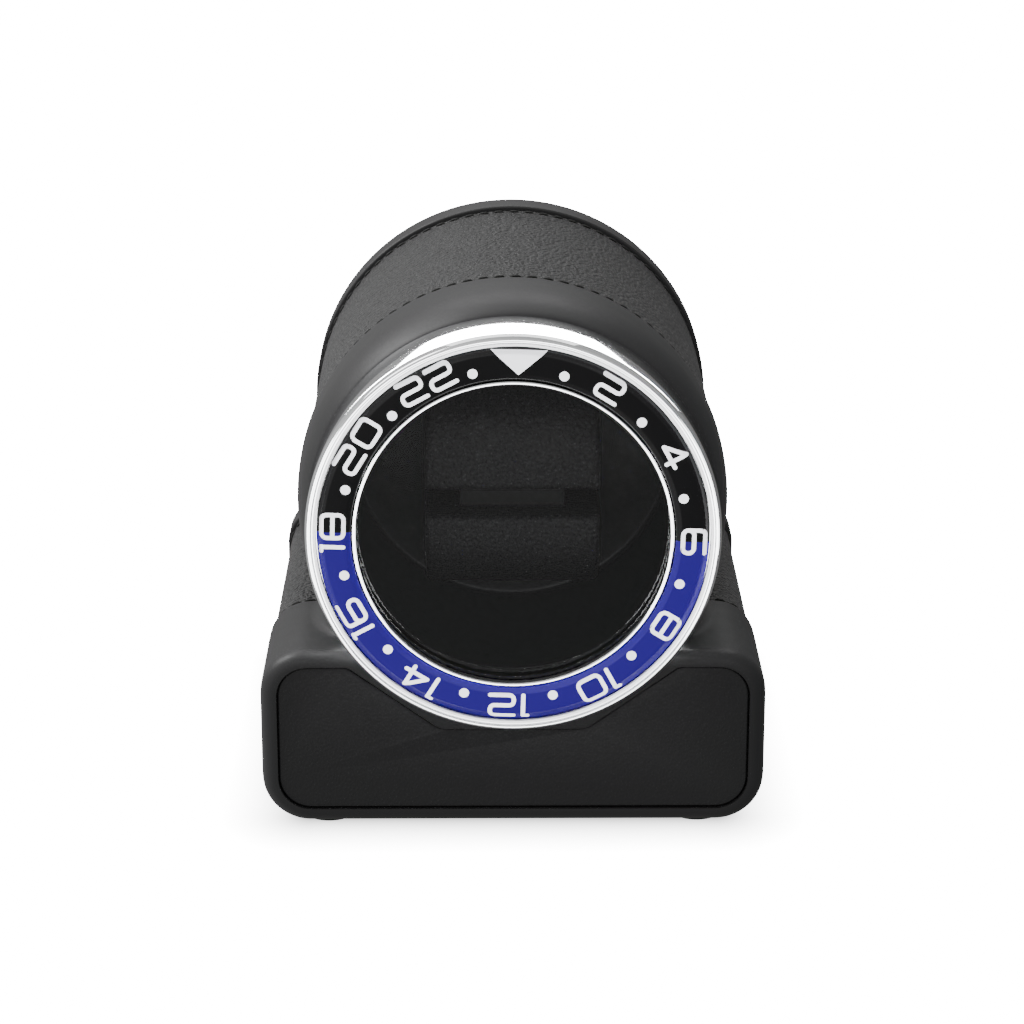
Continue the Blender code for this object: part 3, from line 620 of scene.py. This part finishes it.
def make_cap():
    """The rings, glass, print and gasket that come off the front. Corners are (radius, y, rounding)."""
    outer = [(44.9, -43.5, 0.2), (45.8, -43.5, 0.3), (45.8, -58.3, 2.2), (45.2, -60.0, 0.6)]
    outer += [(44.45, -60.0, 0.25), (44.3, -59.3, 0.1), (44.05, -59.3, 0.1), (43.4, -59.3, 0.05)]
    outer += [(43.4, -57.0, 0.05), (41.5, -57.0, 0.1), (41.5, -48.8, 0.2), (44.9, -48.8, 0.2)]
    show(turned(outer), "chrome", "window_cap", ("bezel_ring",))
    # The chrome lip round the insert is drawn as a white ring: a painted highlight for its glint.
    lip = [(43.32, -58.7, 0.05), (43.32, -59.65, 0.12), (44.0, -59.75, 0.12), (44.0, -59.3, 0.05)]
    show(raw_object("painted_lip_glint", turned(lip)), "lip_glint_white", "window_cap")
    face = [(43.1, -57.3, 0.1), (43.1, -58.6, 0.12), (41.6, -59.5, 0.25), (37.0, -59.5, 0.25)]
    face += [(35.7, -58.8, 0.15), (35.7, -57.3, 0.1)]
    show(turned(face), "insert", "window_cap", ("bezel_insert",))
    make_print()
    trim = [(35.4, -57.2, 0.1), (35.4, -59.2, 0.35), (34.5, -59.2, 0.35), (34.5, -57.2, 0.1)]
    show(turned(trim), "chrome", "window_cap", ("trim_ring",))
    show(rod(0, AXIS_Z, 36.2, -56.9, -54.9), "glass", "window_cap", ("window_glass",))
    carrier = [(41.2, -57.0, 0.2), (41.2, -41.6, 0.3), (38.4, -41.6, 0.3), (38.4, -46.0, 0.2)]
    carrier += [(36.5, -46.0, 0.3), (36.5, -57.0, 0.2)]
    ring = raw_object("cap_carrier_shown", turned(carrier))
    lugs = [sector(42.7, 40.6, -44.1, -41.6, a, 10.0) for a in (-105.0, 15.0, 135.0)]
    show(combine(ring, "UNION", *lugs), "gloss", "window_cap", ("cap_carrier",))
    show(turned([(43.6, -48.5, 0.3), (43.6, -47.3, 0.3), (41.8, -47.3, 0.3), (41.8, -48.5, 0.3)]),
         "rubber", "cap_seal", ("window_gasket",))


# ---------------------------------------------------------------- rotor and cushion


def make_rotor():
    """The dark cup that turns, with a square dock in its floor for the cushion."""
    floor = 11.8
    cup = [(41.6, -36.0, 0.5), (41.6, 14.0, 1.0), (3.3, 14.0, 0.2), (3.3, floor, 0.2), (39.8, floor, 2.0),
           (39.8, -36.0, 0.5)]
    made = raw_object("rotor_cup_shown", turned(cup))
    wall = raw_object("dock", block(-14.1, 14.1, 8, floor + 0.6, 59.9, 81.1))
    combine(wall, "DIFFERENCE", block(-12.3, 12.3, 5, 20, 61.7, 79.3))
    show(combine(made, "UNION", wall), "gloss", "rotor", ("rotor_cup",))


def make_pad(node, flat, far, well_low, well_high, body):
    """A stuffed leather pad: a rounded block whose faces swell between their edges."""
    side = math.copysign(1, far - flat)
    loops = []
    count = 28
    for i in range(count + 1):
        share = 2 * i / count - 1
        edge = 1 - abs(share) ** 6
        x = 20.0 * math.sin(math.pi / 2 * share)
        shrink = 2.2 * (1 - math.sqrt(max(0.0, 1 - abs(share) ** 8)))
        swell = 0.6 * edge - shrink
        half = 18.4 + swell * 0.4
        near, outer = flat + side * 0.3, far - side * 0.6 + side * swell
        ring = rounded([(-half, near, 1.8), (half, near, 1.8), (half, outer, 15.0), (-half, outer, 15.0)], 12)
        loops.append([(x, -12.0 + y, z) for y, z in ring])
    made = raw_object(node + "_shown", skin(loops, wrap=False))
    combine(made, "DIFFERENCE", block(-12.4, 12.4, -22.4, 20, well_low, well_high))
    show(made, "pad_leather", body, (node,), sharp=50)
    return made


def make_cushion():
    upper = make_pad("cushion_upper_pad", 72.0, 96.0, 71.0, 79.4, "cushion")
    lower = make_pad("cushion_lower_pad", 66.5, 46.4, 56.6, 67.5, "lower_pad")


# ---------------------------------------------------------------- controls


def make_controls():
    """What shows on the rear cover: the fluted knob, the jack and the light."""
    radius, depth, flutes, steps = 7.0, 0.25, 24, 144
    turns = [2 * math.pi * i / steps for i in range(steps)]
    grip = [(radius - depth * (1 + math.cos(flutes * t)) / 2, t) for t in turns]
    sections = [(3.0 / 7, 53.5), (3.0 / 7, 56.7), (0.97, 56.7), (1.0, 57.0), (1.0, 59.0), (0.96, 59.5)]
    sections.append((0.9, 59.7))
    x, z = KNOB
    loops = [[(x + r * k * math.cos(t), y, z + r * k * math.sin(t)) for r, t in grip] for k, y in sections]
    knob = raw_object("selector_knob_shown", skin(loops, wrap=False))
    pointer = block(17.6, 18.4, 59.2, 61, 20, 26)
    show(combine(knob, "DIFFERENCE", pointer), "gloss", "selector", ("selector_knob",))
    jack = [(4.5, 47.3), (4.5, 56.8), (4.3, 57.0), (3.1, 57.0), (2.9, 56.8), (2.9, 49.0)]
    jack += [(0.9, 49.0), (0.9, 56.0), (0.6, 56.2)]
    show(turned(jack, *JACK, 64, solid=True), "plastic", "housing", ("dc_jack",))
    led = [(1.4, 47.3), (1.4, 56.2), (1.2, 56.6), (0.8, 56.9), (0.3, 57.0)]
    show(turned(led, *LED, 32, solid=True), "led", "housing", ("status_led",))


# ---------------------------------------------------------------- camera and light


def area(name, place, target, width, height, power, only=None):
    """A soft light. only is the collection of pieces that it lights, or None for all."""
    light = bpy.data.lights.new(name, "AREA")
    light.shape, light.size, light.size_y, light.energy = "RECTANGLE", width, height, power
    made = bpy.data.objects.new(name, light)
    made.light_linking.receiver_collection = only
    made.location = place
    made.rotation_euler = (Vector(target) - Vector(place)).to_track_quat("-Z", "Y").to_euler()
    bpy.context.scene.collection.objects.link(made)


def make_stage():
    """The camera, the lights, and a white floor and dome that only the camera sees.

    The dome and floor glow for the camera alone, so they neither light the object nor take its shadow:
    the soft shade round the base is worked out from the distance to the base's outline.
    """
    camera = bpy.data.cameras.new("camera")
    camera.lens, camera.sensor_width, camera.shift_y = 107.93, 36.0, 0.0039
    camera.clip_start, camera.clip_end = 0.01, 20.0
    made = bpy.data.objects.new("camera", camera)
    made.location = (-0.0044, -0.695, 0.290)
    made.rotation_euler = (math.radians(90 - 18.6), 0.0, math.radians(-0.37))
    bpy.context.scene.collection.objects.link(made)
    bpy.context.scene.camera = made

    shell = bpy.data.materials.new("white_studio")
    shell.use_nodes = True
    shell.node_tree.nodes.clear()
    nodes = Nodes(shell.node_tree)
    parts = nodes.add("ShaderNodeSeparateXYZ", {0: nodes.add("ShaderNodeTexCoord").outputs["Object"]}).outputs
    half_wide, half_deep, shade_reach = 0.046, 0.048, 0.03
    shaded, unshaded = 0.25, 26.0
    out_x = nodes.math("MAXIMUM", nodes.math("SUBTRACT", nodes.math("ABSOLUTE", parts[0]), half_wide), 0.0)
    out_y = nodes.math("MAXIMUM", nodes.math("SUBTRACT", nodes.math("ABSOLUTE", parts[1]), half_deep), 0.0)
    square_x = nodes.math("MULTIPLY", out_x, out_x)
    square_y = nodes.math("MULTIPLY", out_y, out_y)
    away = nodes.math("SQRT", nodes.math("ADD", square_x, square_y))
    fade = nodes.math("POWER", nodes.span(away, 0.0, shade_reach), 1.3)
    strength = nodes.span(fade, 0.0, 1.0, shaded, unshaded)
    glow = nodes.add("ShaderNodeEmission", {"Strength": strength}).outputs[0]
    nodes.add("ShaderNodeOutputMaterial", {"Surface": glow})
    floor = raw_object("floor", block(-4000, 4000, -4000, 4000, -30, -0.02))
    profile = [(1.0, -4000.0), (2800.0, -2800.0), (4000.0, 0.0), (2800.0, 2800.0), (1.0, 4000.0)]
    dome = raw_object("dome", turned(profile, 0.0, 0.0, 32, solid=True))
    for piece in (floor, dome):
        piece.data.materials.append(shell)
        piece.visible_diffuse = piece.visible_glossy = False
        piece.visible_transmission = piece.visible_shadow = False

    world = bpy.data.worlds.new("studio")
    world.use_nodes = True
    bpy.context.scene.world = world
    nodes = Nodes(world.node_tree)
    direction = nodes.add("ShaderNodeTexCoord").outputs["Generated"]
    parts = nodes.add("ShaderNodeSeparateXYZ", {0: direction}).outputs
    up = nodes.span(parts[2], -0.05, 0.9, 0.05, 0.40)
    behind = nodes.span(parts[1], -0.4, 0.5, 0.20, 0.14)
    left = nodes.span(parts[0], 0.1, -0.9, 0.0, 0.50)
    total = nodes.math("ADD", nodes.math("ADD", up, behind), left)
    world.node_tree.links.new(total, world.node_tree.nodes["Background"].inputs["Strength"])
    world.node_tree.nodes["Background"].inputs["Color"].default_value = (1.0, 1.0, 1.0, 1.0)

    centre = (0.0, 0.0, 0.06)
    area("key", (-0.60, 0.15, 0.75), centre, 0.5, 0.5, 6.5)
    area("fill", (0.0, -1.3, 0.5), centre, 1.8, 1.2, 2.5)
    area("top", (0.0, 0.7, 0.85), centre, 0.8, 0.5, 2.5)
    shiny = bpy.data.collections.new("shiny")
    for name in ("bezel_ring_shown", "painted_lip_glint", "trim_ring_shown", "bezel_print"):
        shiny.objects.link(bpy.data.objects[name])
    area("rear_card", (0.0, 1.3, 0.48), centre, 2.0, 0.45, 110.0, only=shiny)
    area("left_card", (-1.0, -0.5, -0.1), centre, 0.5, 0.9, 22.0, only=shiny)
    area("right_card", (1.0, -0.6, 0.0), centre, 0.4, 0.8, 10.0, only=shiny)
    area("front_card", (0.0, -0.9, -0.25), centre, 1.2, 0.5, 16.0, only=shiny)


def main():
    record = {row["node"]: row["material_slot"] for row in frame["record"]["subparts"]}
    for name, node in frame["nodes"].items():
        node.data.materials.clear()
        node.data.materials.append(LOOKS[record[name]])
    make_case()
    make_cap()
    make_rotor()
    make_cushion()
    make_controls()
    make_stage()


main()
